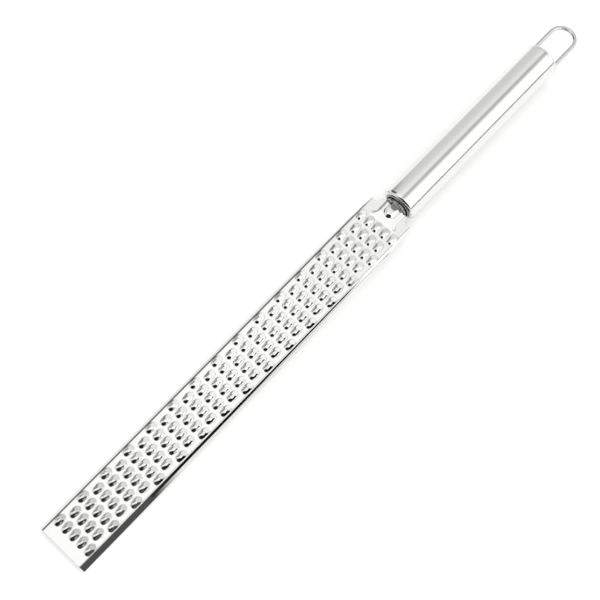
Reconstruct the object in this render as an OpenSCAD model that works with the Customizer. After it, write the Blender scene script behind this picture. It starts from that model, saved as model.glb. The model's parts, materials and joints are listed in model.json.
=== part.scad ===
// Hand grater for radishes and other firm roots, all in stainless steel, in millimetres.
// It is a long blade of stamped sheet with raised teeth and two splayed edges, a round
// hollow handle, and a wire loop to hang it by.
// Tool frame: the tip edge lies at x = 0, the handle's axis is the x axis, and z points
// out of the toothed face. The finished tool is then laid down as it rests on a table:
// on the two lower corners of its tip and on the front rim of the handle.

/* [Blade] */
// Length of the blade from the tip edge to its square shoulders
blade_len = 236; // [215:1:270]
// Thickness of the sheet
sheet_t = 0.7; // [0.5:0.05:0.9]
// Width of the flat toothed face between its two bends
web_w = 25.2; // [25.2:0.2:32]
// Inner radius of the two bends
bend_r = 0.8; // [0.5:0.1:1.2]
// Slope of the splayed edges below the flat face, in degrees
flange_angle = 54; // [40:1:65]
// Length of each splayed edge beyond its bend
flange_len = 2.7; // [1.8:0.1:4]
// Length over which the splayed edges run out towards the shoulders
runout_len = 65; // [50:1:90]
// How far the outline comes in over that length, on each side
runout_in = 2.3; // [1.5:0.1:2.5]

/* [Teeth] */
// Distance from the tip edge to the nose of the first teeth
first_row = 5.7; // [4:0.1:12]
// Distance from one row of teeth to the next
row_step = 7.7; // [7.1:0.05:12]
// Distance from tooth to tooth across the blade
tooth_step = 5.25; // [4.6:0.05:7]
// Length of a tooth from the nose of its hood to the far side of its hole
tooth_len = 6.8; // [6.4:0.1:7]
// Width of a hood where it leaves the flat face
hood_w = 3.65; // [3.2:0.05:4.1]
// Height of a hood above the flat face
hood_h = 1.3; // [1:0.05:1.6]
// Diameter of the round hole behind each hood
hole_d = 2.9; // [2.4:0.1:3.1]

/* [Neck] */
// Width of the neck that enters the handle
neck_w = 16.8; // [16.6:0.1:18.6]
// Length of the neck beyond the shoulders
neck_len = 3.6; // [3:0.1:6]
// Radius of the inside corner between shoulder and neck
notch_r = 2.1; // [1:0.1:2.6]
// Width of the raised arch that stiffens the neck
arch_w = 12.4; // [11.5:0.1:12.8]
// Height of the arch above the flat face
arch_h = 2; // [1.9:0.1:2.4]
// Length of the arch, from the foot of its ramp to the end of the neck
arch_len = 11; // [10.5:0.1:13]
// Length of the ramp at the front of the arch
ramp_len = 4.4; // [3:0.1:5]
// How much wider the foot of the ramp is than the arch, on each side
ramp_flare = 1.8; // [0:0.1:1.8]
// Width of the rib pressed up along the middle of the arch
rib_w = 6.5; // [6.2:0.1:7.4]
// Height of the rib above the arch
rib_h = 0.8; // [0.8:0.1:1.2]
// Length of the rib, back from the end of the neck
rib_len = 8; // [7.5:0.1:9]

/* [Handle] */
// Outer diameter of the handle
tube_d = 20; // [19.6:0.2:24]
// Length of the handle with its end cap
handle_len = 118.4; // [90:0.2:150]
// Wall thickness of the handle tube
tube_wall = 0.7; // [0.5:0.05:1]
// Outer radius of the rolled front rim
rim_r = 1.8; // [1.2:0.1:2.2]
// Diameter of the opening inside the rolled rim
mouth_d = 15.6; // [15.4:0.1:15.8]
// Gap between the end of the neck and the front rim of the handle
neck_gap = 1.7; // [1.5:0.1:2.5]

/* [Front plug] */
// Depth to which the end of the neck is let into the plug
slot_depth = 0.5; // [0.3:0.1:1]
// Radius of the two turned beads on the plug
bead_r = 0.6; // [0.4:0.05:0.7]
// Step in radius from the outer bead to the inner one
bead_step = 1.3; // [1:0.1:1.5]
// Length of the plug inside the handle, behind the rolled rim
plug_len = 6; // [4:0.5:12]
// Diameter of the tang, the round pin under the rib of the neck
tang_d = 4.8; // [4:0.1:4.8]
// Length of the tang in front of the plug
tang_len = 5; // [3.5:0.1:5.4]

/* [End cap] */
// Length of the cap that shows behind the tube
cap_len = 2.6; // [2:0.1:5]
// Radius of the cap's outer edge
cap_edge_r = 1.8; // [0.8:0.1:2]
// Length of the cap's spigot inside the tube
spigot_len = 4; // [3:0.5:10]

/* [Hanging loop] */
// Diameter of the wire
wire_d = 2.4; // [1.6:0.1:2.6]
// Distance between the middles of the two legs
loop_w = 14.7; // [10:0.1:14.8]
// Length of the loop that shows behind the end cap
loop_len = 24.3; // [16:0.1:60]
// Depth to which each leg is set into the end cap
leg_depth = 5.6; // [3:0.1:6]

/* [Hidden] */

// Clearance between pieces that are pushed into each other
fit = 0.05;
// Least flat margin between a hood and a bend, and between the last holes and the ramp
side_margin = 0.2;
ramp_margin = 0.3;
// A cutting shape reaches this far past what it cuts
over = 1;
// Two pieces of one sheet overlap by this much where they are joined
lap = 0.3;

steel = "silver";
steel_dark = "darkgray";

// Levels of the sheet: the middle of its thickness lies on the handle's axis
web_top = sheet_t / 2;
web_low = -sheet_t / 2;

// Splayed edges, in cross-section
bend_out_r = bend_r + sheet_t;
flange_out_y = web_w / 2 + bend_out_r * sin(flange_angle) + flange_len * cos(flange_angle);
flange_in_drop = bend_r * cos(flange_angle) - flange_len * sin(flange_angle);
flange_low = web_low - bend_r + flange_in_drop;
outline_r = (runout_len * runout_len + runout_in * runout_in) / (2 * runout_in);

// Places along the tool
neck_end = blade_len + neck_len;
arch_x = neck_end - arch_len;
rib_x = neck_end - rib_len;
tube_x = neck_end + neck_gap;
handle_end = tube_x + handle_len;
cap_x = handle_end - cap_len;
loop_end = handle_end + loop_len;

// Teeth: as many rows and columns as fit
hood_r = (hood_w * hood_w / 4 + hood_h * hood_h) / (2 * hood_h);
hood_axis_z = web_top + hood_h - hood_r;
hole_x = tooth_len - hole_d / 2;
cheek_back = hole_d / 6;
row_room = arch_x - ramp_margin - first_row - tooth_len;
rows = floor(row_room / row_step) + 1;
col_room = web_w / 2 - side_margin - hood_w / 2;
half_cols = floor(col_room / tooth_step);

// Neck: the width over which the sides of the arch and of the rib rise
arch_side = 1.9;
rib_side = 1;
neck_curve_steps = 6;
neck_rib_steps = 4;

// Handle and plug
tube_r = tube_d / 2;
bore_r = tube_r - tube_wall;
mouth_r = mouth_d / 2;
plug_nose_r = mouth_r - fit - 0.1;
plug_face = neck_end - slot_depth;
plug_recess_r = bore_r - 3.2;
cap_recess_r = loop_w / 2 - wire_d / 2 - 1.2;
wire_r = wire_d / 2;
bow_r = loop_w / 2;
bow_x = loop_end - wire_r - bow_r;

// How the tool lies: tipped forward until the lower corners of the tip touch the table
rim_x = tube_x + rim_r;
rim_drop = tube_r - rim_r + flange_low;
rest_tilt = asin(rim_r / norm([rim_x, rim_drop])) + atan2(rim_drop, rim_x);
rest_low = flange_low * cos(rest_tilt);
rest_x_min = -web_top * sin(rest_tilt);
rest_x_max = (bow_x + bow_r) * cos(rest_tilt) + wire_r;
rest_x_mid = (rest_x_min + rest_x_max) / 2;

// Lays the finished tool down, with the origin under the middle of its length
module at_rest() {
    translate([-rest_x_mid, 0, -rest_low])
        rotate([0, -rest_tilt, 0])
            children();
}

// Turns a profile about the handle's axis: its x is the radius, its y the place along it
module turned(facets = 96) {
    rotate([0, 90, 0])
        rotate_extrude($fn = facets)
            children();
}

// Carries a cross-section along x: its x is the tool's y, its y the tool's z
module along_x(from, to) {
    translate([from, 0, 0])
        rotate([90, 0, 90])
            linear_extrude(height = to - from)
                children();
}

// One bend and splayed edge of the blade's cross-section, on the side of positive y
module flange_section() {
    reach = 2 * bend_out_r;
    translate([web_w / 2, web_low - bend_r]) {
        intersection() {
            difference() {
                circle(r = bend_out_r, $fn = 64);
                circle(r = bend_r, $fn = 64);
            }
            square(reach);
            rotate(-flange_angle)
                translate([-reach, 0])
                    square(reach);
        }
        rotate(-flange_angle)
            translate([0, bend_r])
                square([flange_len, sheet_t]);
    }
}

// The blade's whole cross-section
module blade_section() {
    translate([-web_w / 2, web_low]) square([web_w, sheet_t]);
    flange_section();
    mirror([1, 0]) flange_section();
}

// Outline of the blade seen from above: straight sides that come in towards the handle
// on a long curve, square shoulders, and a narrow neck with rounded inside corners
module blade_outline() {
    curve_x = blade_len - runout_len;
    half_w = flange_out_y + over * 0.01;
    translate([0, -half_w]) square([curve_x, 2 * half_w]);
    for (side = [-1, 1])
        scale([1, side])
            intersection() {
                translate([curve_x - lap, 0]) square([runout_len + lap, half_w]);
                translate([curve_x, half_w - outline_r]) circle(r = outline_r, $fn = 1440);
            }
    translate([blade_len - lap, -neck_w / 2]) square([neck_len + lap, neck_w]);
    for (side = [-1, 1])
        scale([1, side])
            difference() {
                translate([blade_len - lap, neck_w / 2 - lap]) square([notch_r + lap, notch_r + lap]);
                translate([blade_len + notch_r, neck_w / 2 + notch_r]) circle(r = notch_r, $fn = 48);
            }
}

// Everything of the blade that is plain folded sheet, open where the neck is pressed
module folded_sheet() {
    difference() {
        intersection() {
            along_x(0, neck_end) blade_section();
            translate([0, 0, flange_low - over])
                linear_extrude(height = web_top - flange_low + 2 * over)
                    blade_outline();
        }
        translate([arch_x, lap - neck_w / 2, web_low - over])
            cube([arch_len + over, neck_w - 2 * lap, sheet_t + 2 * over]);
    }
}

// Smooth rise from 0 to 1 while t goes from 0 to 1
function rise(t) = (1 - cos(180 * min(1, max(0, t)))) / 2;

// Half width of the arch at its foot: wider at the bottom of the ramp
function arch_foot(x) = arch_w / 2 + ramp_flare * (1 - rise((x - arch_x) / ramp_len));

// Distance from a point to the middle line of the rib, whose front end is round
function rib_distance(x, y) = x < rib_x + rib_w / 2 ? norm([x - rib_x - rib_w / 2, y]) : abs(y);

// Height to which the neck is pressed up at a point
function neck_lift(x, y) =
    arch_h * rise((x - arch_x) / ramp_len) * rise((arch_foot(x) - abs(y)) / arch_side)
    + rib_h * rise((rib_w / 2 - rib_distance(x, y)) / rib_side);

// Stations along the neck: close together on the ramp and round the front of the rib
neck_xs = concat(
    [arch_x - lap],
    [for (i = [0 : neck_curve_steps]) arch_x + ramp_len * i / neck_curve_steps],
    [for (i = [1 : neck_rib_steps]) max(arch_x + ramp_len, rib_x) + rib_w / 2 * i / neck_rib_steps],
    [neck_end]);

// Places across the neck at a station, from the middle to one side
function neck_half_ys(x) = concat(
    [for (i = [0 : 2]) (rib_w / 2 - rib_side) * i / 2],
    [for (i = [1 : neck_rib_steps]) rib_w / 2 - rib_side * (1 - i / neck_rib_steps)],
    [for (i = [0 : neck_curve_steps]) arch_foot(x) - arch_side * (1 - i / neck_curve_steps)],
    [neck_w / 2]);

// The same places from one side to the other
function neck_ys(x) = let (half = neck_half_ys(x), n = len(half))
    [for (i = [1 - n : n - 1]) sign(i) * half[abs(i)]];

// The pressed part of the neck: the arch with its ramp, and the rib on top, lofted
// through the stations as a sheet of even thickness
module pressed_neck() {
    across = len(neck_ys(neck_end));
    along = len(neck_xs);
    count = across * along;
    top = [for (x = neck_xs) for (y = neck_ys(x)) [x, y, web_top + neck_lift(x, y)]];
    under = [for (p = top) [p[0], p[1], p[2] - sheet_t]];
    faces_over = [
        for (i = [0 : along - 2]) for (j = [0 : across - 2]) let (a = i * across + j, b = a + across)
            each [[a, a + 1, b + 1], [a, b + 1, b]]];
    faces_under = [for (f = faces_over) [f[2] + count, f[1] + count, f[0] + count]];
    rim = concat(
        [for (j = [0 : across - 1]) j],
        [for (i = [1 : along - 1]) i * across + across - 1],
        [for (j = [across - 2 : -1 : 0]) (along - 1) * across + j],
        [for (i = [along - 2 : -1 : 1]) i * across]);
    n = len(rim);
    faces_edge = [
        for (k = [0 : n - 1]) let (a = rim[k], b = rim[(k + 1) % n])
            each [[a, a + count, b + count], [a, b + count, b]]];
    polyhedron(points = concat(top, under), faces = concat(faces_over, faces_under, faces_edge));
}

// Places its children at the nose of every tooth, in rows that are one tooth longer and
// shorter by turns
module at_each_tooth() {
    for (row = [0 : rows - 1])
        let (shift = row % 2 == 0 ? half_cols : half_cols - 0.5)
            for (col = [0 : 2 * shift])
                translate([first_row + row * row_step, (col - shift) * tooth_step, 0])
                    children();
}

// A round bar with a round nose, which gives a hood its form outside and inside
module hood_bar(r) {
    translate([hood_w / 2, 0, hood_axis_z]) {
        sphere(r = r, $fn = 32);
        rotate([0, 90, 0])
            cylinder(r = r, h = hole_x - cheek_back - hood_w / 2, $fn = 32);
    }
}

// Sheet pressed up into hoods, each open towards a round hole on the handle's side
module blade_form() {
    difference() {
        union() {
            folded_sheet();
            pressed_neck();
            intersection() {
                at_each_tooth() hood_bar(hood_r);
                translate([0, -web_w / 2, 0])
                    cube([neck_end, web_w, web_top + hood_h + over]);
            }
        }
        at_each_tooth() hood_bar(hood_r - sheet_t);
        at_each_tooth()
            translate([hole_x, 0, web_low - over])
                cylinder(d = hole_d, h = sheet_t + hood_h + 2 * over, $fn = 32);
    }
}

// Hollow handle with its front rim rolled in round a narrower opening
module handle_tube_form() {
    turned() {
        translate([bore_r, rim_x]) square([tube_wall, cap_x - rim_x]);
        translate([mouth_r, tube_x]) square([tube_r - rim_r - mouth_r, tube_wall]);
        intersection() {
            translate([tube_r - rim_r, tube_x]) square(rim_r);
            translate([tube_r - rim_r, rim_x])
                difference() {
                    circle(r = rim_r, $fn = 64);
                    circle(r = rim_r - tube_wall, $fn = 64);
                }
        }
    }
}

// Profile of the plug, from its recess inside the handle to its two beads in front
module plug_profile() {
    body_x = rim_x + fit;
    difference() {
        union() {
            translate([0, body_x]) square([bore_r - fit, plug_len]);
            translate([0, tube_x]) square([plug_nose_r, rim_r + fit]);
            translate([0, plug_face + bead_r]) square([plug_nose_r - bead_step, tube_x - plug_face]);
            translate([0, plug_face]) square([plug_nose_r - bead_step - bead_r, over]);
            translate([plug_nose_r - bead_step - bead_r, plug_face + bead_r])
                circle(r = bead_r, $fn = 32);
            translate([plug_nose_r - bead_r, tube_x])
                circle(r = bead_r, $fn = 32);
        }
        translate([0, body_x + 1]) square([plug_recess_r, plug_len]);
        translate([-over, plug_face - over]) square([over, plug_len + rim_r + 4]);
    }
}

// Turned plug in the mouth of the handle. Its tang lies under the rib of the neck, and
// the end of the neck sits in a slot across its beads
module front_plug_form() {
    difference() {
        union() {
            turned() plug_profile();
            turned(48) {
                translate([0, plug_face - tang_len + tang_d / 2])
                    square([tang_d / 2, tang_len]);
                intersection() {
                    translate([0, plug_face - tang_len + tang_d / 2]) circle(d = tang_d, $fn = 48);
                    translate([0, plug_face - tang_len]) square(tang_d);
                }
            }
        }
        neck_slot();
    }
}

// Room for the end of the neck, a little larger than the sheet all round
module neck_slot() {
    ys = neck_ys(neck_end);
    edge = [for (y = ys) [y, web_top + neck_lift(neck_end, y)]];
    along_x(plug_face - over, neck_end + fit)
        polygon(concat(
            [[ys[0] - over, edge[0][1] + fit]],
            [for (p = edge) [p[0], p[1] + 2 * fit]],
            [[ys[len(ys) - 1] + over, edge[0][1] + fit]],
            [[ys[len(ys) - 1] + over, web_low - fit]],
            [for (i = [len(edge) - 1 : -1 : 0]) [edge[i][0], edge[i][1] - sheet_t - 2 * fit]],
            [[ys[0] - over, web_low - fit]]));
}

// Cap that closes the rear of the handle, with a blind hole for each leg of the loop
module end_cap_form() {
    difference() {
        turned() {
            translate([0, cap_x]) square([tube_r, cap_len - cap_edge_r]);
            translate([0, cap_x]) square([tube_r - cap_edge_r, cap_len]);
            intersection() {
                translate([tube_r - cap_edge_r, handle_end - cap_edge_r]) circle(r = cap_edge_r, $fn = 48);
                translate([tube_r - cap_edge_r, handle_end - cap_edge_r]) square(cap_edge_r);
            }
            translate([cap_recess_r, cap_x - spigot_len])
                square([bore_r - fit - cap_recess_r, spigot_len]);
        }
        for (side = [-1, 1])
            translate([handle_end - leg_depth - fit, side * bow_r, 0])
                rotate([0, 90, 0])
                    cylinder(r = wire_r + fit, h = leg_depth + over, $fn = 32);
    }
}

// Wire bent to a bow, with two straight legs set into the end cap
module hanging_loop_form() {
    translate([bow_x, 0, 0])
        rotate([0, 0, -90])
            rotate_extrude(angle = 180, $fn = 96)
                translate([bow_r, 0])
                    circle(r = wire_r, $fn = 32);
    for (side = [-1, 1])
        translate([handle_end - leg_depth, side * bow_r, 0])
            rotate([0, 90, 0])
                cylinder(r = wire_r, h = bow_x - handle_end + leg_depth, $fn = 32);
}

module blade() {
    color(steel)
        at_rest() blade_form();
}

module front_plug() {
    color(steel_dark)
        at_rest() front_plug_form();
}

module handle_tube() {
    color(steel)
        at_rest() handle_tube_form();
}

module end_cap() {
    color(steel)
        at_rest() end_cap_form();
}

module hanging_loop() {
    color(steel_dark)
        at_rest() hanging_loop_form();
}

blade();
front_plug();
handle_tube();
end_cap();
hanging_loop();
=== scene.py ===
"""A long hand grater of stainless steel, lying on a pale floor.

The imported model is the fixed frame: a stamped and folded blade, a turned plug, a hollow
handle with its end cap, and a bent wire loop. This script dresses those nodes, sets the
photograph's camera and lights the scene as a small product studio does.
"""

import json
import logging
import math
from dataclasses import dataclass
from enum import Enum
from typing import Any, Sequence

import bpy
import numpy as np
from mathutils import Matrix, Vector

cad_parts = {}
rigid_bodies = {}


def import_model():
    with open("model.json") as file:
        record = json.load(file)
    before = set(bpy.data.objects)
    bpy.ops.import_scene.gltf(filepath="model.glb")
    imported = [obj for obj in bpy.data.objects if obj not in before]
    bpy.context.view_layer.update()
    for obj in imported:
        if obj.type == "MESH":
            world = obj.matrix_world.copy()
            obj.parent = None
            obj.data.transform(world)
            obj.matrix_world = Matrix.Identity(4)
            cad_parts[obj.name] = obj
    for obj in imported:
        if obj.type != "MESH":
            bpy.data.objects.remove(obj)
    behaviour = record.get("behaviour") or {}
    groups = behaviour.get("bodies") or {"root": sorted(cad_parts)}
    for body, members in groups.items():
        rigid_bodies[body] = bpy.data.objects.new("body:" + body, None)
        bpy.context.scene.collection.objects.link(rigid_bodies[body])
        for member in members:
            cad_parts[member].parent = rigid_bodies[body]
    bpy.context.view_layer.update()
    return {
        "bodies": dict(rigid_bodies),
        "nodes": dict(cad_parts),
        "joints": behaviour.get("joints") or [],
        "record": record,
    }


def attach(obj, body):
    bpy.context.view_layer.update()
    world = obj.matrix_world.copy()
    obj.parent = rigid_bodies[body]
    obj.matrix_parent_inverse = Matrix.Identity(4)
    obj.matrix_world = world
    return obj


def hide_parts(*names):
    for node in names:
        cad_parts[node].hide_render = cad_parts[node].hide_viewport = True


LOG = logging.getLogger("grater")
MM = 0.001
# Width of the photograph in pixels, and width of the camera's sensor
PHOTO_PX = 600
SENSOR_MM = 36.0
# How the tool lies: tipped about y, its middle over the origin, its lowest corners on the floor
REST_TILT_DEG = 1.68157
REST_MIDDLE_MM = 191.912
REST_LIFT_MM = 2.8628
# Numbers that differ by less than this count as equal
NEAR = 1e-6


def from_hex(colour: str) -> tuple[float, float, float, float]:
    """Turns an sRGB hex colour into the linear colour that a shader takes.

    Formula: a channel c between 0 and 1 becomes c / 12.92 up to 0.04045, and
    ((c + 0.055) / 1.055) to the power 2.4 above it.

    Args:
        colour: Six hex digits with a leading hash sign.

    Returns:
        Linear red, green and blue, and an alpha of 1.
    """
    channels = np.array([int(colour[i:i + 2], 16) for i in (1, 3, 5)]) / 255.0
    linear = np.where(channels <= 0.04045, channels / 12.92, ((channels + 0.055) / 1.055) ** 2.4)
    return (float(linear[0]), float(linear[1]), float(linear[2]), 1.0)


def add_node(
        tree: bpy.types.NodeTree, kind: str, links: dict[Any, Any] | None = None,
        **settings: Any) -> bpy.types.Node:
    """Adds one shader node with its settings, its input values and its links.

    Args:
        tree: Node tree that the node goes into.
        kind: Blender's name for the node's type.
        links: Input name or number, to the socket that feeds it or to its value.
        **settings: Attributes of the node.

    Returns:
        The new node.
    """
    node = tree.nodes.new(kind)
    for key, value in settings.items():
        setattr(node, key, value)
    for key, value in (links or {}).items():
        if isinstance(value, bpy.types.NodeSocket):
            tree.links.new(value, node.inputs[key])
        else:
            node.inputs[key].default_value = value
    return node


def ramp_of(
        tree: bpy.types.NodeTree, factor: bpy.types.NodeSocket,
        stops: Sequence[tuple[float, float]]) -> bpy.types.NodeSocket:
    """Adds a grey colour ramp through the given stops.

    Args:
        tree: Node tree that the ramp goes into.
        factor: Socket that drives it, from 0 to 1.
        stops: Places along the ramp with their linear grey values, in order.

    Returns:
        The ramp's colour output.
    """
    node = add_node(tree, "ShaderNodeValToRGB", {0: factor})
    ramp = node.color_ramp
    while len(ramp.elements) > 1:
        ramp.elements.remove(ramp.elements[-1])
    ramp.elements[0].position = stops[0][0]
    ramp.elements[0].color = (stops[0][1], stops[0][1], stops[0][1], 1.0)
    for place, grey in stops[1:]:
        element = ramp.elements.new(place)
        element.color = (grey, grey, grey, 1.0)
    return node.outputs[0]


class Grain(Enum):
    """How the steel's surface was finished, which sets the direction of its fine lines."""

    POLISHED = "buffed to a mirror with faint hairlines in all directions"
    SATIN = "brushed along the tool's length"
    TURNED = "turned on a lathe, with rings round the tool's axis"


# Length of one fine line of each grain, in distances between lines
SATIN_LINE = 60.0
TURNED_LINE = 40.0
POLISHED_LINE = 3.0
# Share of the metal's colour that is left in the darkest of the fine lines
LINE_TINT = 0.94
# Relief that a line depth of 1 stands for
LINE_RELIEF_MM = 0.02
# Size of the marks of handling, and the part of their noise that is spread over the roughness
MARK_MM = 11.1
MARK_RANGE = (0.35, 0.7)
# How fast the painted shade deepens where a place is less open
CREVICE_SHADE_POWER = 3.0


@dataclass(frozen=True)
class SteelFinish:
    """One finish of stainless steel.

    Attributes:
        name: Name of the material.
        colour: sRGB hex colour of the metal.
        roughness: Middle roughness of the surface.
        uneven: How much the roughness varies over the surface.
        grain: Direction of the fine lines.
        line_mm: Distance between fine lines, drawn coarser than the real grit so that it shows.
        line_depth: Strength of the lines in the bump.
        wave_mm: Size of the slow waves in the sheet.
        wave_depth_mm: Depth of those waves.
        edge_mm: Radius by which sharp edges look rounded.
        crevice_shade_mm: Reach of the painted shade that darkens grooves, or 0 for none.
    """

    name: str
    colour: str
    roughness: float
    uneven: float
    grain: Grain
    line_mm: float
    line_depth: float
    wave_mm: float
    wave_depth_mm: float
    edge_mm: float
    crevice_shade_mm: float = 0.0

    def stretch(self) -> tuple[float, float, float]:
        """Works out how densely the grain's noise is packed.

        Formula: one over the distance between lines, and along the lines that again over
        their length in such distances.

        Returns:
            Density along x, y and z, per metre.
        """
        dense = 1.0 / (self.line_mm * MM)
        if self.grain is Grain.SATIN:
            return (dense / SATIN_LINE, dense, dense)
        if self.grain is Grain.TURNED:
            return (dense, dense / TURNED_LINE, dense / TURNED_LINE)
        return (dense / POLISHED_LINE, dense / POLISHED_LINE, dense / POLISHED_LINE)

    def build(self) -> bpy.types.Material:
        """Makes the material.

        The colour is even, and a little darker in the fine lines. Roughness is the middle
        value plus a slow noise for handling marks. The bump adds slow waves of the sheet to
        fine lines along the grain, on top of edges softened by a small radius. Where crevice
        shade is set, the colour is multiplied by how open the place is, to a power: painted shade.

        Returns:
            The finished material.
        """
        material = bpy.data.materials.new(self.name)
        material.use_nodes = True
        tree = material.node_tree
        tree.nodes.clear()
        place = add_node(tree, "ShaderNodeTexCoord").outputs["Object"]
        along = add_node(tree, "ShaderNodeMapping", {"Vector": place, "Scale": self.stretch()}).outputs[0]
        lines = add_node(tree, "ShaderNodeTexNoise", {
            "Vector": along, "Scale": 1.0, "Detail": 3.0, "Roughness": 0.6})
        slow = add_node(tree, "ShaderNodeTexNoise", {
            "Vector": place, "Scale": 1.0 / (self.wave_mm * MM), "Detail": 1.0})
        marks = add_node(tree, "ShaderNodeTexNoise", {
            "Vector": place, "Scale": 1.0 / (MARK_MM * MM), "Detail": 4.0, "Roughness": 0.55})
        dull = add_node(tree, "ShaderNodeMapRange", {
            "Value": marks.outputs[0], "From Min": MARK_RANGE[0], "From Max": MARK_RANGE[1],
            "To Min": self.roughness - self.uneven, "To Max": self.roughness + self.uneven})
        metal = from_hex(self.colour)
        tint = add_node(tree, "ShaderNodeMix", {
            "Factor": lines.outputs[0], "A": metal,
            "B": tuple(LINE_TINT * channel for channel in metal[:3]) + (1.0,)}, data_type="RGBA")
        colour = tint.outputs["Result"]
        # Painted shade: the colour is darkened in grooves and where parts meet, by how little open space
        # the place has
        if self.crevice_shade_mm > 0.0:
            open_sky = add_node(
                tree, "ShaderNodeAmbientOcclusion", {"Distance": self.crevice_shade_mm * MM}, samples=8)
            painted_shade = add_node(
                tree, "ShaderNodeMath", {0: open_sky.outputs["AO"], 1: CREVICE_SHADE_POWER}, operation="POWER")
            shaded_colour = add_node(
                tree, "ShaderNodeMix", {"Factor": 1.0, "A": colour, "B": painted_shade.outputs[0]},
                data_type="RGBA", blend_type="MULTIPLY")
            colour = shaded_colour.outputs["Result"]
        edge = add_node(tree, "ShaderNodeBevel", {"Radius": self.edge_mm * MM}, samples=4)
        waves = add_node(tree, "ShaderNodeBump", {
            "Height": slow.outputs[0], "Strength": 1.0, "Distance": self.wave_depth_mm * MM,
            "Normal": edge.outputs[0]})
        fine = add_node(tree, "ShaderNodeBump", {
            "Height": lines.outputs[0], "Strength": self.line_depth, "Distance": LINE_RELIEF_MM * MM,
            "Normal": waves.outputs[0]})
        shader = add_node(tree, "ShaderNodeBsdfPrincipled", {
            "Base Color": colour, "Metallic": 1.0, "Roughness": dull.outputs[0],
            "Normal": fine.outputs[0]})
        add_node(tree, "ShaderNodeOutputMaterial", {"Surface": shader.outputs[0]})
        return material


# Stamped 18/10 sheet, buffed: a bright mirror with the sheet's slow waves in it
BLADE_STEEL = SteelFinish(
    "stainless_sheet_polished", "#E9E9E7", roughness=0.07, uneven=0.03, grain=Grain.POLISHED,
    line_mm=0.5, line_depth=0.10, wave_mm=14.0, wave_depth_mm=0.010, edge_mm=0.18)
# Turned and buffed bar: sharp light rings, painted shade darkening the grooves between them, and a colour
# darker than the sheet's that partly stands for shade
PLUG_STEEL = SteelFinish(
    "stainless_bar_turned", "#B2B2B0", roughness=0.09, uneven=0.03, grain=Grain.TURNED,
    line_mm=0.25, line_depth=0.25, wave_mm=6.0, wave_depth_mm=0.002, edge_mm=0.08, crevice_shade_mm=4.0)
# Brushed tube: a soft sheen in bands along the handle
HANDLE_STEEL = SteelFinish(
    "stainless_tube_satin", "#E7E7E5", roughness=0.14, uneven=0.03, grain=Grain.SATIN,
    line_mm=0.25, line_depth=0.35, wave_mm=30.0, wave_depth_mm=0.004, edge_mm=0.10)
# Pressed cap, brushed like the tube it closes
CAP_STEEL = SteelFinish(
    "stainless_cap_satin", "#E0E0DE", roughness=0.20, uneven=0.03, grain=Grain.TURNED,
    line_mm=0.3, line_depth=0.25, wave_mm=10.0, wave_depth_mm=0.002, edge_mm=0.15)
# Drawn wire, bent and buffed: bright lines that follow the bow
WIRE_STEEL = SteelFinish(
    "stainless_wire_polished", "#CCCCCA", roughness=0.08, uneven=0.03, grain=Grain.POLISHED,
    line_mm=0.4, line_depth=0.15, wave_mm=5.0, wave_depth_mm=0.003, edge_mm=0.05)


@dataclass
class Dressed:
    """A CAD node that keeps its shape and gets a finish.

    Attributes:
        node: Name of the node.
        finish: Finish of its whole surface.
    """

    node: str
    finish: SteelFinish

    def dress(self, frame: dict[str, Any]) -> bpy.types.Object:
        """Puts the finish on the node.


        Returns:
            The node's object.
        """
        piece = frame["nodes"][self.node]
        material = self.finish.build()
        if not piece.material_slots:
            piece.data.materials.append(material)
        for slot in piece.material_slots:
            slot.material = material
        LOG.info("%s dressed in %s", self.node, self.finish.name)
        return piece


def laid_down(points: np.ndarray) -> np.ndarray:
    """Turns points of the tool's own frame into the row frame, as it rests on the floor.

    Formula: the tool is tipped forward by the rest tilt about the y axis, so x becomes
    x cos - z sin and z becomes x sin + z cos, and is then moved until its middle stands
    over the origin and its lowest corners touch the floor.

    Args:
        points: Array of points in millimetres, with x, y and z last.

    Returns:
        The same points in metres in the row frame.
    """
    tilt = math.radians(REST_TILT_DEG)
    x, y, z = points[..., 0], points[..., 1], points[..., 2]
    laid = np.stack([
        x * math.cos(tilt) - z * math.sin(tilt) - REST_MIDDLE_MM,
        y,
        x * math.sin(tilt) + z * math.cos(tilt) + REST_LIFT_MM], axis=-1)
    return laid * MM


def rise(t: np.ndarray) -> np.ndarray:
    """Smooth step: half of one minus the cosine, 0 up to t = 0 and 1 from t = 1."""
    return (1.0 - np.cos(np.pi * np.clip(t, 0.0, 1.0))) / 2.0


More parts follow.
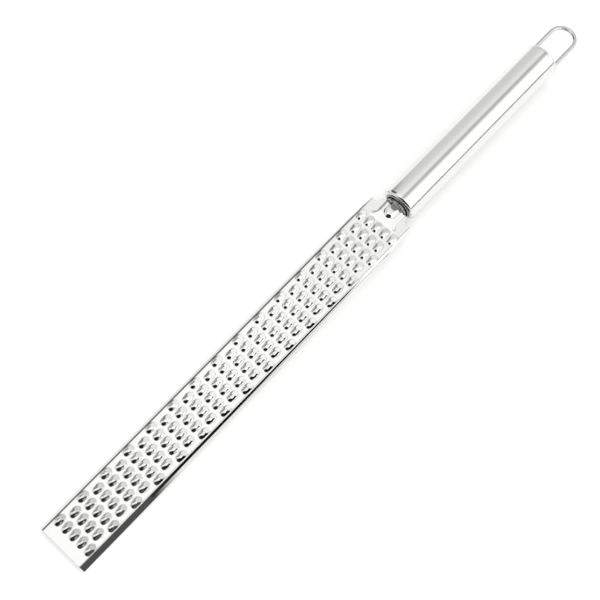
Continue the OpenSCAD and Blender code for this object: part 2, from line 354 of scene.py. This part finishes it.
def sheet_shell(
        top: np.ndarray, under: np.ndarray,
        keep: np.ndarray) -> tuple[np.ndarray, np.ndarray, np.ndarray]:
    """Closes two grids of points into one sheet with holes.

    Formula: each kept cell gives a face on both grids. Where a kept cell borders on a
    cell that is left out, or on the grid's edge, a wall face joins the two grids.

    Args:
        top: Points of the upper side, stations by columns by 3.
        under: Points of the lower side, in the same order.
        keep: One true or false per cell.

    Returns:
        The points, the four-sided faces, and the point pairs of the sheet's sharp edges.
    """
    rows, cols = keep.shape
    index = np.arange(top.shape[0] * top.shape[1]).reshape(top.shape[:2])
    count = index.size
    a, b, c, d = index[:-1, :-1], index[1:, :-1], index[1:, 1:], index[:-1, 1:]
    upper = np.stack([a, b, c, d], axis=-1)[keep]
    faces = [upper, upper[:, ::-1] + count]
    wide = np.zeros((rows + 2, cols + 2), bool)
    wide[1:-1, 1:-1] = keep
    sides = (
        (wide[:-2, 1:-1], a, d), (wide[2:, 1:-1], c, b),
        (wide[1:-1, :-2], b, a), (wide[1:-1, 2:], d, c))
    rims = []
    for beyond, first, second in sides:
        edge = np.stack([first, second], axis=-1)[keep & ~beyond]
        faces.append(np.stack([edge[:, 0], edge[:, 1], edge[:, 1] + count, edge[:, 0] + count], axis=-1))
        rims += [edge, edge + count]
    quads = np.concatenate(faces)
    used, fresh = np.unique(quads, return_inverse=True)
    lookup = np.zeros(2 * count, int)
    lookup[used] = np.arange(used.size)
    points = np.concatenate([top.reshape(-1, 3), under.reshape(-1, 3)])[used]
    return points, fresh.reshape(quads.shape), lookup[np.concatenate(rims)]


def mesh_piece(name: str, points: np.ndarray, quads: np.ndarray, sharp: np.ndarray) -> bpy.types.Object:
    """Makes a smooth-shaded mesh object with some of its edges kept sharp.

    Args:
        name: Name of the object.
        points: Points in metres in the row frame.
        quads: Four point numbers per face, anticlockwise from outside.
        sharp: Pairs of point numbers whose edges stay sharp.

    Returns:
        The new object, linked to the scene.
    """
    mesh = bpy.data.meshes.new(name)
    mesh.from_pydata(points.tolist(), [], quads.tolist())
    mesh.polygons.foreach_set("use_smooth", np.ones(len(mesh.polygons), bool))
    # An edge is looked up by one number: its lower end times the number of points, plus its upper end
    ends = np.empty(2 * len(mesh.edges), np.int32)
    mesh.edges.foreach_get("vertices", ends)
    size = len(mesh.vertices)
    pairs = np.sort(ends.reshape(-1, 2), axis=1).astype(np.int64)
    wanted = np.sort(sharp, axis=1).astype(np.int64)
    hard = np.isin(pairs[:, 0] * size + pairs[:, 1], wanted[:, 0] * size + wanted[:, 1])
    mesh.attributes.new("sharp_edge", "BOOLEAN", "EDGE").data.foreach_set("value", hard)
    mesh.update()
    piece = bpy.data.objects.new(name, mesh)
    bpy.context.scene.collection.objects.link(piece)
    return piece


@dataclass
class Blade:
    """The stamped blade: a folded sheet with 131 raised teeth and a pressed neck.

    All sizes are in millimetres in the tool's own frame, where the tip edge is at x = 0
    and the handle's axis is the x axis.

    Attributes:
        length: From the tip edge to the shoulders.
        sheet: Thickness of the sheet.
        web_w: Width of the part of the sheet that holds the teeth.
        half_w: Half of the overall width, over the splayed edges.
        bend_start: Distance from the middle line at which the bend begins.
        bend_mid_r: Radius of the bend in the middle of the sheet.
        fold_deg: Angle by which the edges are bent down.
        runout_len: Length over which the outline comes in towards the shoulders.
        runout_in: How far it comes in on each side.
        first_row: From the tip edge to the noses of the first row.
        row_step: Distance between rows.
        rows: Number of rows, of five and four teeth by turns.
        tooth_step: Distance between teeth across a row.
        tooth_len: From a hood's nose to the far side of its hole.
        hole_d: Diameter of a hole.
        hole_cell: Half of the width of the square of cells that is drawn into a hole.
        hole_draw: How far round that square the grid is drawn along, in half squares.
        hood_w: Width of a hood at its foot.
        hood_h: Height of a hood.
        hood_fillet: Radius of the hollow at its foot.
        nose_draw: Share that is left of the distance ahead, which draws the nose out.
        fade_ahead: Distance before the hole's middle at which the hood begins to fade.
        fade_len: Length over which it fades.
        nose_lines: Grid lines from a nose up to its hole, along the blade.
        side_lines: Grid lines from a hood's middle line out to its side.
        edge_lines: Grid lines from the web to the cut edge, as shares of the way.
        hole_cells: Number of grid cells along a hole.
        tip_cells: Number of them before the first row.
        foot_cells: Number of them from the last row to the shoulders.
        notch_cells: Number of them beside the notch.
        end_cells: Number of them from the notch to the neck's end.
        neck_w: Width of the neck.
        neck_len: Length of the neck beyond the shoulders.
        notch_r: Radius of the notch between neck and shoulder.
        arch_w: Width of the arch pressed into the neck.
        arch_h: Height of the arch.
        arch_len: Length of the arch with its ramp.
        arch_side: Width of the arch's sloping side.
        ramp_len: Length of the ramp at its front.
        ramp_flare: How much wider the arch is on each side at the ramp's bottom.
        rib_w: Width of the rib on the arch.
        rib_h: Height of the rib.
        rib_len: Length of the rib.
        rib_side: Width of the rib's sloping side.
        rib_swell: How much higher the rib is at its front.
        swell_from: Distance from the neck's end at which the swelling begins.
        swell_len: Length over which it grows.
    """

    length: float = 236.0
    sheet: float = 0.7
    web_w: float = 25.2
    half_w: float = 15.4
    bend_start: float = 12.2
    bend_mid_r: float = 1.95
    fold_deg: float = 54.1
    runout_len: float = 65.0
    runout_in: float = 2.3
    first_row: float = 5.7
    row_step: float = 7.7
    rows: int = 29
    tooth_step: float = 5.25
    tooth_len: float = 6.8
    hole_d: float = 2.9
    hole_cell: float = 1.5
    hole_draw: float = 0.34
    hood_w: float = 3.9
    hood_h: float = 1.3
    hood_fillet: float = 0.4
    nose_draw: float = 0.9
    fade_ahead: float = 1.8
    fade_len: float = 3.1
    nose_lines: tuple[float, ...] = (-0.45, 0.0, 0.35, 0.75, 1.25, 1.85, 2.6, 3.3)
    side_lines: tuple[float, ...] = (0.0, 0.4, 0.85, 1.25, 1.5, 1.7, 1.95)
    edge_lines: tuple[float, ...] = (0.09, 0.18, 0.28, 0.38, 0.49, 0.6, 0.72, 1.0)
    hole_cells: int = 6
    tip_cells: int = 8
    foot_cells: int = 24
    notch_cells: int = 8
    end_cells: int = 4
    neck_w: float = 16.8
    neck_len: float = 3.6
    notch_r: float = 2.1
    arch_w: float = 12.4
    arch_h: float = 2.0
    arch_len: float = 11.5
    arch_side: float = 1.5
    ramp_len: float = 5.0
    ramp_flare: float = 2.4
    rib_w: float = 6.5
    rib_h: float = 0.8
    rib_len: float = 8.0
    rib_side: float = 1.0
    rib_swell: float = 0.6
    swell_from: float = 1.0
    swell_len: float = 4.0

    def stations(self) -> tuple[np.ndarray, np.ndarray]:
        """Places the grid's lines along the blade.

        Each row of teeth has the same fifteen cells: eight over the hood and the flat just
        before it, six over the hole and one over the gap. The tip, the part behind the last
        row and the neck have lines of their own, and those beside the notch follow its circle.

        Returns:
            The x of each line, and the number of its row of teeth or -1.
        """
        hole_r = self.hole_d / 2.0
        hole = self.tooth_len - hole_r + hole_r * np.linspace(-1.0, 1.0, self.hole_cells + 1)
        band = np.concatenate([self.nose_lines, hole])
        noses = self.first_row + self.row_step * np.arange(self.rows)
        teeth = (noses[:, None] + band).ravel()
        tip = np.linspace(0.0, teeth[0], self.tip_cells + 1)[:-1]
        foot = np.linspace(noses[-1] + band[0] + self.row_step, self.length, self.foot_cells + 1)
        turn = np.linspace(0.0, np.pi / 2.0, self.notch_cells + 1)[1:]
        notch = self.length + self.notch_r * (1.0 - np.cos(turn))
        end = np.linspace(notch[-1], self.length + self.neck_len, self.end_cells + 1)[1:]
        row = np.concatenate([
            np.full(tip.size, -1), np.repeat(np.arange(self.rows), band.size),
            np.full(foot.size + notch.size + end.size, -1)])
        return np.concatenate([tip, teeth, foot, notch, end]), row

    def web_columns(self, odd: bool) -> np.ndarray:
        """Places the grid's lines across one half of the flat face, for one kind of row.

        Lines stand close together where a hood's side rises. In even rows a tooth is in
        the middle, and in odd rows the teeth stand half a step aside.

        Args:
            odd: True for the rows with four teeth.

        Returns:
            The y of each line, from the middle to the bend.
        """
        half = self.tooth_step / 2.0
        out = np.array(self.side_lines)
        back = half - np.concatenate([[half], out[:0:-1]])
        cells = [cell * half + (out if (cell % 2 == 0) != odd else back) for cell in range(4)]
        return np.concatenate(cells + [4.0 * half + out, [self.web_w / 2.0]])

    def half_width(self, x: np.ndarray) -> np.ndarray:
        """Outline of the blade seen from above.

        Formula: straight, and over the last stretch before the shoulders in along a circle,
        whose radius is the stretch squared plus the way in squared over twice the way in.

        Args:
            x: Stations along the blade.

        Returns:
            Half of the width at each station.
        """
        radius = (self.runout_len ** 2 + self.runout_in ** 2) / (2.0 * self.runout_in)
        along = np.clip(x - self.length + self.runout_len, 0.0, self.runout_len)
        return self.half_w - (radius - np.sqrt(radius ** 2 - along ** 2))

    def fold_reach(self, x: np.ndarray) -> np.ndarray:
        """Length of sheet, from the middle line over the bend to the cut edge, at each station.

        Formula: the outline gives the width seen from above. Up to the end of the bend the
        angle there is the arc sine of the width beyond the bend's start over the bend's
        outer radius, and the rest of the width lies on the straight splayed edge.

        Args:
            x: Stations along the blade.

        Returns:
            The length at each station.
        """
        fold = math.radians(self.fold_deg)
        outer = self.bend_mid_r + self.sheet / 2.0
        wide = self.half_width(x) - self.bend_start
        angle = np.arcsin(np.clip(wide / outer, 0.0, math.sin(fold)))
        flat = np.maximum(wide - outer * math.sin(fold), 0.0) / math.cos(fold)
        return self.bend_start + self.bend_mid_r * angle + flat

    def folded(self, x: np.ndarray, s: np.ndarray, h: np.ndarray) -> np.ndarray:
        """Bends the flat pressed sheet round its two long bends.

        Formula: a point at distance s from the middle line and height h over the sheet's
        middle goes round the bend's centre by the angle (s - start) / radius, at the radius
        plus h, and past the last angle straight on along the tangent.

        Args:
            x: Place along the blade.
            s: Distance across the flat sheet.
            h: Height over the middle of the sheet.

        Returns:
            Points with x, y and z last.
        """
        fold = math.radians(self.fold_deg)
        past = np.maximum(np.abs(s) - self.bend_start, 0.0)
        turn = np.minimum(past / self.bend_mid_r, fold)
        along = past - turn * self.bend_mid_r
        flat = np.minimum(np.abs(s), self.bend_start)
        y = flat + (self.bend_mid_r + h) * np.sin(turn) + along * np.cos(turn)
        z = (self.bend_mid_r + h) * np.cos(turn) - self.bend_mid_r - along * np.sin(turn)
        return np.stack([x, np.sign(s) * y, z], axis=-1)

    def hood(self, u: np.ndarray, w: np.ndarray) -> np.ndarray:
        """Height of a hood above the flat face.

        Formula: a round crown of one radius meets the flat face in a hollow fillet. The
        distance from the hood's ridge line is measured shorter in front of the nose, which
        draws the nose out. From before the hole on, the hood fades away on both sides of it
        by a smooth step.

        Args:
            u: Distance behind the nose.
            w: Distance from the hood's middle line.

        Returns:
            The height at each point.
        """
        foot = self.hood_w / 2.0
        fillet = self.hood_fillet
        crown = (foot ** 2 + (fillet - self.hood_h) ** 2 - fillet ** 2) / (2.0 * self.hood_h)
        centre = self.hood_h - crown
        join = foot * crown / (crown + fillet)
        ahead = np.maximum(foot / self.nose_draw - u, 0.0) * self.nose_draw
        off = np.hypot(w, ahead)
        over = centre + np.sqrt(np.maximum(crown ** 2 - off ** 2, 0.0))
        under = fillet - np.sqrt(np.maximum(fillet ** 2 - (off - foot) ** 2, 0.0))
        height = np.where(off < join, over, np.where(off < foot, under, 0.0))
        hole = self.tooth_len - self.hole_d / 2.0
        return height * (1.0 - rise((u - hole + self.fade_ahead) / self.fade_len))

    def neck_lift(self, x: np.ndarray, y: np.ndarray) -> np.ndarray:
        """Height to which the neck is pressed up.

        Formula: the arch is a smooth step along the ramp times a smooth step in from its
        foot, which is wider at the bottom of the ramp. The rib with its round front is a
        smooth step in from its edge, and stands on top. Towards its front it swells: it is
        higher there, and its side is wider in step.

        Args:
            x: Place along the blade.
            y: Place across it.

        Returns:
            The height at each point.
        """
        end = self.length + self.neck_len
        along = rise((x - end + self.arch_len) / self.ramp_len)
        foot = self.arch_w / 2.0 + self.ramp_flare * (1.0 - along)
        arch = self.arch_h * along * rise((foot - np.abs(y)) / self.arch_side)
        front = end - self.rib_len + self.rib_w / 2.0
        off = np.hypot(np.minimum(x - front, 0.0), y)
        swell = 1.0 + self.rib_swell / self.rib_h * rise((end - self.swell_from - x) / self.swell_len)
        return arch + self.rib_h * swell * rise((self.rib_w / 2.0 - off) / (self.rib_side * swell))

    def flat_grid(
            self, x: np.ndarray, row: np.ndarray) -> tuple[np.ndarray, np.ndarray, np.ndarray, np.ndarray]:
        """Points of the toothed face before its edges are added, and the cells of its holes.

        Formula: u along the blade and w across it are measured from the middle of the
        nearest hole, and p and q are the same in half squares. Near a hole the square grid
        is drawn on to a circle, fully at the square of the hole's size and not at all a
        third further out. A point keeps its share of the square as its share of the circle.

        Args:
            x: Stations along the blade.
            row: Row of teeth at each station, or -1.

        Returns:
            x, y and pressed height of each point, and true for each cell that is not in a hole.
        """
        columns = [self.web_columns(False), self.web_columns(True)]
        lines = [np.concatenate([-c[:0:-1], c]) for c in columns]
        odd = (row % 2 == 1) & (row >= 0)
        y = np.where(odd[:, None], lines[1], lines[0])
        xx = np.broadcast_to(x[:, None], y.shape)
        # Teeth stand at up to 2 whole steps from the middle, or at 0.5 and 1.5 steps in odd rows
        shift = np.where(odd, 0.5, 0.0)[:, None]
        most = np.where(odd, 1.5, 2.0)[:, None]
        centre = (np.round(y / self.tooth_step - shift) + shift).clip(-most, most) * self.tooth_step
        nose = (self.first_row + self.row_step * np.maximum(row, 0))[:, None]
        hole_r = self.hole_d / 2.0
        u = xx - nose - self.tooth_len + hole_r
        w = y - centre
        p, q = u / hole_r, w / self.hole_cell
        square = np.maximum(np.abs(p), np.abs(q))
        circle = np.maximum(np.hypot(p, q), NEAR)
        draw = np.clip((1.0 + self.hole_draw - square) / self.hole_draw, 0.0, 1.0) * (row >= 0)[:, None]
        u2 = u + draw * (hole_r * p * square / circle - u)
        w2 = w + draw * (hole_r * q * square / circle - w)
        inside = (square < 1.0 - NEAR) & (row >= 0)[:, None]
        keep = ~(inside[:-1, :-1] | inside[1:, 1:] | inside[1:, :-1] | inside[:-1, 1:])
        hood = self.hood(u2 + self.tooth_len - hole_r, w2) * (row >= 0)[:, None]
        squeeze = self.neck_squeeze(x)[:, None]
        xx, y = xx - u + u2, (centre + w2) * squeeze
        return xx, y, hood + self.neck_lift(xx, y), keep

    def neck_squeeze(self, x: np.ndarray) -> np.ndarray:
        """Width of the neck over its width at the shoulders.

        Formula: 1 up to the shoulders, then in along the quarter circle of the notch, then even.

        Args:
            x: Stations along the blade.

        Returns:
            The share at each station.
        """
        deep = np.clip(x - self.length, 0.0, self.notch_r)
        inner = self.neck_w / 2.0 + self.notch_r
        half = inner - np.sqrt(self.notch_r ** 2 - (self.notch_r - deep) ** 2)
        return np.where(x > self.length, half / inner, 1.0)

    def build(self) -> bpy.types.Object:
        """Builds the sheet's two sides, and leaves out the holes and what is beside the neck.

        Returns:
            The blade's object.
        """
        x, row = self.stations()
        xx, flat, height, keep = self.flat_grid(x, row)
        share = np.array(self.edge_lines)
        edge = self.web_w / 2.0 + (self.fold_reach(x) - self.web_w / 2.0)[:, None] * share
        across = np.concatenate([-edge[:, ::-1], flat, edge], axis=1)
        none = np.zeros_like(edge)
        lift = np.concatenate([none, height, none], axis=1)
        along = np.concatenate([none + x[:, None], xx, none + x[:, None]], axis=1)
        top = self.folded(along, across, self.sheet / 2.0 + lift)
        under = self.folded(along, across, lift - self.sheet / 2.0)
        side = np.ones((x.size - 1, share.size), bool)
        keep = np.concatenate([side, keep, side], axis=1)
        # The neck goes on only in the columns within its width at the shoulders
        neck_cells = np.count_nonzero(self.web_columns(False) < self.neck_w / 2.0 + self.notch_r - NEAR)
        from_middle = np.abs(np.arange(keep.shape[1]) + 0.5 - keep.shape[1] / 2.0)
        keep &= ~((x[:-1, None] >= self.length - NEAR) & (from_middle > neck_cells))
        points, quads, rims = sheet_shell(top, under, keep)
        piece = mesh_piece("blade_sheet", laid_down(points), quads, rims)
        teeth = 5 * ((self.rows + 1) // 2) + 4 * (self.rows // 2)
        LOG.info("blade_sheet: %d faces, %d teeth", len(quads), teeth)
        return piece

    def dress(self, piece: bpy.types.Object) -> None:
        """Gives the blade its steel, puts it in the root body and hides the CAD's blade in its place."""
        piece.data.materials.append(BLADE_STEEL.build())
        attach(piece, "root")
        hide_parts("blade")


@dataclass
class Camera:
    """The photograph's camera, fitted to the handle's 20 mm and the rows of teeth.

    Attributes:
        at_mm: Place of the lens in the row frame.
        aim_mm: Point of the floor that the middle of the picture shows.
        roll_deg: Turn about the line of sight, from a level camera.
        focal_px: Focal length in pixels of a picture 600 pixels wide.
    """

    at_mm: tuple[float, float, float] = (-197.8, -169.7, 614.9)
    aim_mm: tuple[float, float, float] = (-20.87, 4.31, 0.0)
    roll_deg: float = 1.707
    focal_px: float = 1292.9

    def build(self) -> bpy.types.Object:
        """Adds the camera and makes it the scene's.

        The picture's right is the line of sight crossed with world up, and both it and
        the picture's up are then turned by the roll.

        Returns:
            The camera's object.
        """
        lens = bpy.data.cameras.new("camera")
        lens.sensor_width = SENSOR_MM
        lens.sensor_fit = "HORIZONTAL"
        lens.lens = self.focal_px * SENSOR_MM / PHOTO_PX
        lens.clip_start = 0.01
        lens.clip_end = 20.0
        lens.dof.use_dof = False
        at = Vector(self.at_mm) * MM
        sight = (Vector(self.aim_mm) * MM - at).normalized()
        level = sight.cross(Vector((0.0, 0.0, 1.0))).normalized()
        turned = Matrix.Rotation(math.radians(self.roll_deg), 3, sight)
        right = turned @ level
        up = right.cross(sight)
        camera = bpy.data.objects.new("camera", lens)
        # Columns are the picture's right, the picture's up, the way back from the sight, and the place
        camera.matrix_world = Matrix((
            (right.x, up.x, -sight.x, at.x),
            (right.y, up.y, -sight.y, at.y),
            (right.z, up.z, -sight.z, at.z),
            (0.0, 0.0, 0.0, 1.0)))
        bpy.context.scene.collection.objects.link(camera)
        bpy.context.scene.camera = camera
        return camera


# Brightness of the tent over the roll angle in degrees: -90 is right of the tool, 0 overhead, 90 left
TENT_PANELS = (
    (-180.0, 0.6), (-91.0, 0.7), (-89.5, 0.05), (-85.5, 0.05), (-82.5, 1.0), (-78.0, 1.4),
    (-24.0, 1.35), (-17.0, 0.95), (-8.0, 0.53), (-1.0, 0.53), (6.0, 0.9), (15.0, 1.0),
    (42.0, 0.8), (90.0, 0.76), (180.0, 0.6))
# Further brightness over the x part of the direction: the tip's end of the tent is the brighter
TENT_ENDS = ((-1.0, 1.25), (0.18, 1.25), (0.36, 1.0), (1.0, 1.0))
# Value above both ramps' brightest, by which they are divided because a ramp's colour stays below 1
TENT_TOP = 1.5
# Number of points along an arched card's edge
ARCH_POINTS = 33


@dataclass(frozen=True)
class Card:
    """A black or grey card beside the tool, which only the steel sees.

    It gives the polished steel its dark noses and lines, as black cards do in product
    photography, and it casts no shadow. Its colour is a glow that only reflections see,
    so it is a painted reflection.

    Attributes:
        name: Name of the card.
        start_mm: One end, seen from above.
        end_mm: The other end.
        top_mm: Height of its upper edge over the floor at its two ends.
        colour: sRGB hex colour.
        foot_mm: Height of its lower edge at its two ends.
        lean_mm: How far its upper edge lies to the left of its lower edge. A card with both
            at one height lies flat.
        arched: True for the upper half of an ellipse, false for an oblong.
        fade: Share of its length, at the second end, over which it fades out.
    """

    name: str
    start_mm: tuple[float, float]
    end_mm: tuple[float, float]
    top_mm: tuple[float, float]
    colour: str
    foot_mm: tuple[float, float] = (0.3, 0.3)
    lean_mm: float = 0.0
    arched: bool = False
    fade: float = 0.0

    def outline(self) -> np.ndarray:
        """Works out the corners of the card.

        Formula: an arch goes from one end to the other by half of one minus the cosine of
        the angle, and up by its sine. An oblong has four corners.

        Returns:
            The corners in metres, in order round the card, with x, y and z last.
        """
        if self.arched:
            angle = np.linspace(0.0, np.pi, ARCH_POINTS)
            along, up = (1.0 - np.cos(angle)) / 2.0, np.sin(angle)
        else:
            along, up = np.array([0.0, 1.0, 1.0, 0.0]), np.array([0.0, 0.0, 1.0, 1.0])
        (x0, y0), (x1, y1) = self.start_mm, self.end_mm
        foot = self.foot_mm[0] + (self.foot_mm[1] - self.foot_mm[0]) * along
        top = self.top_mm[0] + (self.top_mm[1] - self.top_mm[0]) * along
        x = x0 + (x1 - x0) * along
        y = y0 + (y1 - y0) * along + self.lean_mm * up
        return np.stack([x, y, foot + (top - foot) * up], axis=-1) * MM

    def build(self) -> None:
        """Stands the card up and keeps it out of the picture and out of the light."""
        corners = self.outline()
        mesh = bpy.data.meshes.new(self.name)
        mesh.from_pydata(corners.tolist(), [], [tuple(range(len(corners)))])
        card = bpy.data.objects.new(self.name, mesh)
        bpy.context.scene.collection.objects.link(card)
        material = bpy.data.materials.new(self.name + "_felt")
        material.use_nodes = True
        tree = material.node_tree
        tree.nodes.clear()
        # Painted reflection: the card's colour is emitted and seen only by the steel's reflections
        painted_reflection = add_node(tree, "ShaderNodeEmission", {"Color": from_hex(self.colour), "Strength": 1.0})
        if self.fade > 0.0:
            place = add_node(tree, "ShaderNodeTexCoord").outputs["Object"]
            parts = add_node(tree, "ShaderNodeSeparateXYZ", {0: place})
            x0, x1 = self.start_mm[0] * MM, self.end_mm[0] * MM
            gone = add_node(tree, "ShaderNodeMapRange", {
                "Value": parts.outputs[0], "From Min": x1 - self.fade * (x1 - x0), "From Max": x1})
            clear = add_node(tree, "ShaderNodeBsdfTransparent")
            painted_reflection = add_node(tree, "ShaderNodeMixShader", {
                0: gone.outputs[0], 1: painted_reflection.outputs[0], 2: clear.outputs[0]})
        add_node(tree, "ShaderNodeOutputMaterial", {"Surface": painted_reflection.outputs[0]})
        mesh.materials.append(material)
        card.visible_camera = False
        card.visible_diffuse = False
        card.visible_shadow = False
        card.visible_transmission = False


CARDS = (
    # A wide dark arch beyond the tip on the camera's side, seen in the hoods' noses
    Card("card_camera_side", (-650.0, 283.0), (-60.0, -307.0), (520.0, 520.0), "#222222", arched=True),
    # Close along the right edge, a painted reflection of the shade beside the tool: the grey of the splay
    # near the tip, and the black line from there on
    Card("card_right_tip", (-215.0, -15.7), (-125.0, -15.7), (10.3, 11.5), "#565656", fade=0.2),
    Card(
        "card_right", (-145.0, -15.7), (12.0, -15.7), (10.4, 14.6), "#0E0E0E",
        foot_mm=(3.2, 9.8), fade=0.1),
    # Far to the left, seen as the grey line on the left bend
    Card("card_left", (-250.0, 440.0), (200.0, 405.0), (430.0, 430.0), "#606060", foot_mm=(40.0, 40.0)),
    # Flat on the floor along the left edge, a painted shadow of the tool on the floor, seen only in the
    # left splay
    Card("painted_shadow_strip_left", (-215.0, 28.0), (45.0, 28.0), (0.3, 0.3), "#C4C4C4", lean_mm=45.0))


@dataclass
class Studio:
    """A pale floor under a soft white tent with a few darker gaps.

    Attributes:
        floor_m: Width of the floor.
        floor_colour: sRGB hex colour of the floor.
        glow_colour: sRGB hex colour of its white glow.
        glow_reach_mm: Distance before and behind the middle over which the glow is set.
        floor_glow: Places along the tool in millimetres, each with the share of the floor
            that shows as plain white there. The rest of it shows the tool's soft shadow, so the
            glow is painted light that pales that shadow more in the middle than at the tip and by the
            handle.
        lamp_w: Power of the softbox overhead.
        lamp_size_m: Length of its sides.
        lamp_at_m: Place of the softbox, which faces the middle of the floor.
        tent: Strength of the tent's light.
    """

    floor_m: float = 30.0
    floor_colour: str = "#F4F4F3"
    glow_colour: str = "#FEFEFD"
    glow_reach_mm: float = 200.0
    floor_glow: tuple[tuple[float, float], ...] = ((-190.0, 0.25), (-80.0, 0.8), (-10.0, 0.8), (25.0, 0.25))
    lamp_w: float = 2.5
    lamp_size_m: float = 0.6
    lamp_at_m: tuple[float, float, float] = (0.35, 0.1, 0.8)
    tent: float = 1.0

    def build(self) -> None:
        """Builds the floor, the tent, the softbox and the cards."""
        self.floor()
        self.world()
        self.softbox()
        for card in CARDS:
            card.build()

    def floor(self) -> None:
        """Lays a flat pale floor under the tool.

        The camera and the steel see a share of it as plain white. The share follows a ramp
        along the tool, and is painted light that pales the tool's shadow unevenly.
        """
        half = self.floor_m / 2.0
        corners = [(-half, -half, 0.0), (half, -half, 0.0), (half, half, 0.0), (-half, half, 0.0)]
        mesh = bpy.data.meshes.new("floor")
        mesh.from_pydata(corners, [], [(0, 1, 2, 3)])
        floor = bpy.data.objects.new("floor", mesh)
        bpy.context.scene.collection.objects.link(floor)
        material = bpy.data.materials.new("matt_white_paper")
        material.use_nodes = True
        tree = material.node_tree
        tree.nodes.clear()
        place = add_node(tree, "ShaderNodeTexCoord").outputs["Object"]
        parts = add_node(tree, "ShaderNodeSeparateXYZ", {0: place})
        reach = self.glow_reach_mm
        along = add_node(tree, "ShaderNodeMapRange", {
            "Value": parts.outputs[0], "From Min": -reach * MM, "From Max": reach * MM})
        stops = [((x + reach) / (2.0 * reach), white) for x, white in self.floor_glow]
        white = ramp_of(tree, along.outputs[0], stops)
        path = add_node(tree, "ShaderNodeLightPath")
        seen = add_node(
            tree, "ShaderNodeMath", {0: path.outputs["Is Camera Ray"], 1: path.outputs["Is Glossy Ray"]},
            operation="MAXIMUM")
        share = add_node(tree, "ShaderNodeMath", {0: seen.outputs[0], 1: white}, operation="MULTIPLY")
        paper = add_node(tree, "ShaderNodeBsdfPrincipled", {
            "Base Color": from_hex(self.floor_colour), "Roughness": 0.6})
        glow = add_node(tree, "ShaderNodeEmission", {
            "Color": from_hex(self.glow_colour), "Strength": 1.0})
        shader = add_node(tree, "ShaderNodeMixShader", {
            0: share.outputs[0], 1: paper.outputs[0], 2: glow.outputs[0]})
        add_node(tree, "ShaderNodeOutputMaterial", {"Surface": shader.outputs[0]})
        mesh.materials.append(material)

    def world(self) -> None:
        """Paints the tent that the steel reflects.

        The roll angle is the arctangent of y over z: it runs from the right of the tool
        over its top to the left. One ramp over it gives the tent's panels and the gaps
        between them, and one over the x part of the direction makes the tip's end brighter.
        The camera itself sees plain white behind the floor.
        """
        world = bpy.data.worlds.new("tent")
        bpy.context.scene.world = world
        world.use_nodes = True
        tree = world.node_tree
        tree.nodes.clear()
        towards = add_node(tree, "ShaderNodeTexCoord").outputs["Generated"]
        parts = add_node(tree, "ShaderNodeSeparateXYZ", {0: towards})
        roll = add_node(
            tree, "ShaderNodeMath", {0: parts.outputs[1], 1: parts.outputs[2]}, operation="ARCTAN2")
        turn = add_node(tree, "ShaderNodeMapRange", {
            "Value": roll.outputs[0], "From Min": -math.pi, "From Max": math.pi})
        panel_stops = [((angle + 180.0) / 360.0, bright / TENT_TOP) for angle, bright in TENT_PANELS]
        panels = ramp_of(tree, turn.outputs[0], panel_stops)
        along = add_node(tree, "ShaderNodeMapRange", {
            "Value": parts.outputs[0], "From Min": -1.0, "From Max": 1.0})
        end_stops = [((x + 1.0) / 2.0, bright / TENT_TOP) for x, bright in TENT_ENDS]
        ends = ramp_of(tree, along.outputs[0], end_stops)
        both = add_node(
            tree, "ShaderNodeMix", {"Factor": 1.0, "A": panels, "B": ends},
            data_type="RGBA", blend_type="MULTIPLY")
        tent = add_node(tree, "ShaderNodeBackground", {
            "Color": both.outputs["Result"], "Strength": TENT_TOP ** 2 * self.tent})
        white = add_node(tree, "ShaderNodeBackground", {"Color": from_hex("#FFFFFF"), "Strength": 1.0})
        path = add_node(tree, "ShaderNodeLightPath")
        seen = add_node(tree, "ShaderNodeMixShader", {
            0: path.outputs["Is Camera Ray"], 1: tent.outputs[0], 2: white.outputs[0]})
        add_node(tree, "ShaderNodeOutputWorld", {"Surface": seen.outputs[0]})

    def softbox(self) -> None:
        """Hangs one large square lamp above the handle's end, turned to the middle of the floor."""
        lamp = bpy.data.lights.new("softbox", "AREA")
        lamp.energy = self.lamp_w
        lamp.size = self.lamp_size_m
        holder = bpy.data.objects.new("softbox", lamp)
        holder.location = self.lamp_at_m
        holder.rotation_euler = (-Vector(self.lamp_at_m)).to_track_quat("-Z", "Y").to_euler()
        holder.visible_glossy = False
        bpy.context.scene.collection.objects.link(holder)


def main() -> None:
    """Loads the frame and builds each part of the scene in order."""
    logging.basicConfig(level=logging.INFO, format="%(message)s")
    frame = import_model()
    bpy.context.scene.view_settings.view_transform = "Standard"
    Camera().build()
    Studio().build()
    blade = Blade()
    blade.dress(blade.build())
    for part in (
            Dressed("front_plug", PLUG_STEEL),
            Dressed("handle_tube", HANDLE_STEEL),
            Dressed("end_cap", CAP_STEEL),
            Dressed("hanging_loop", WIRE_STEEL)):
        part.dress(frame)


if __name__ == "__main__":
    main()
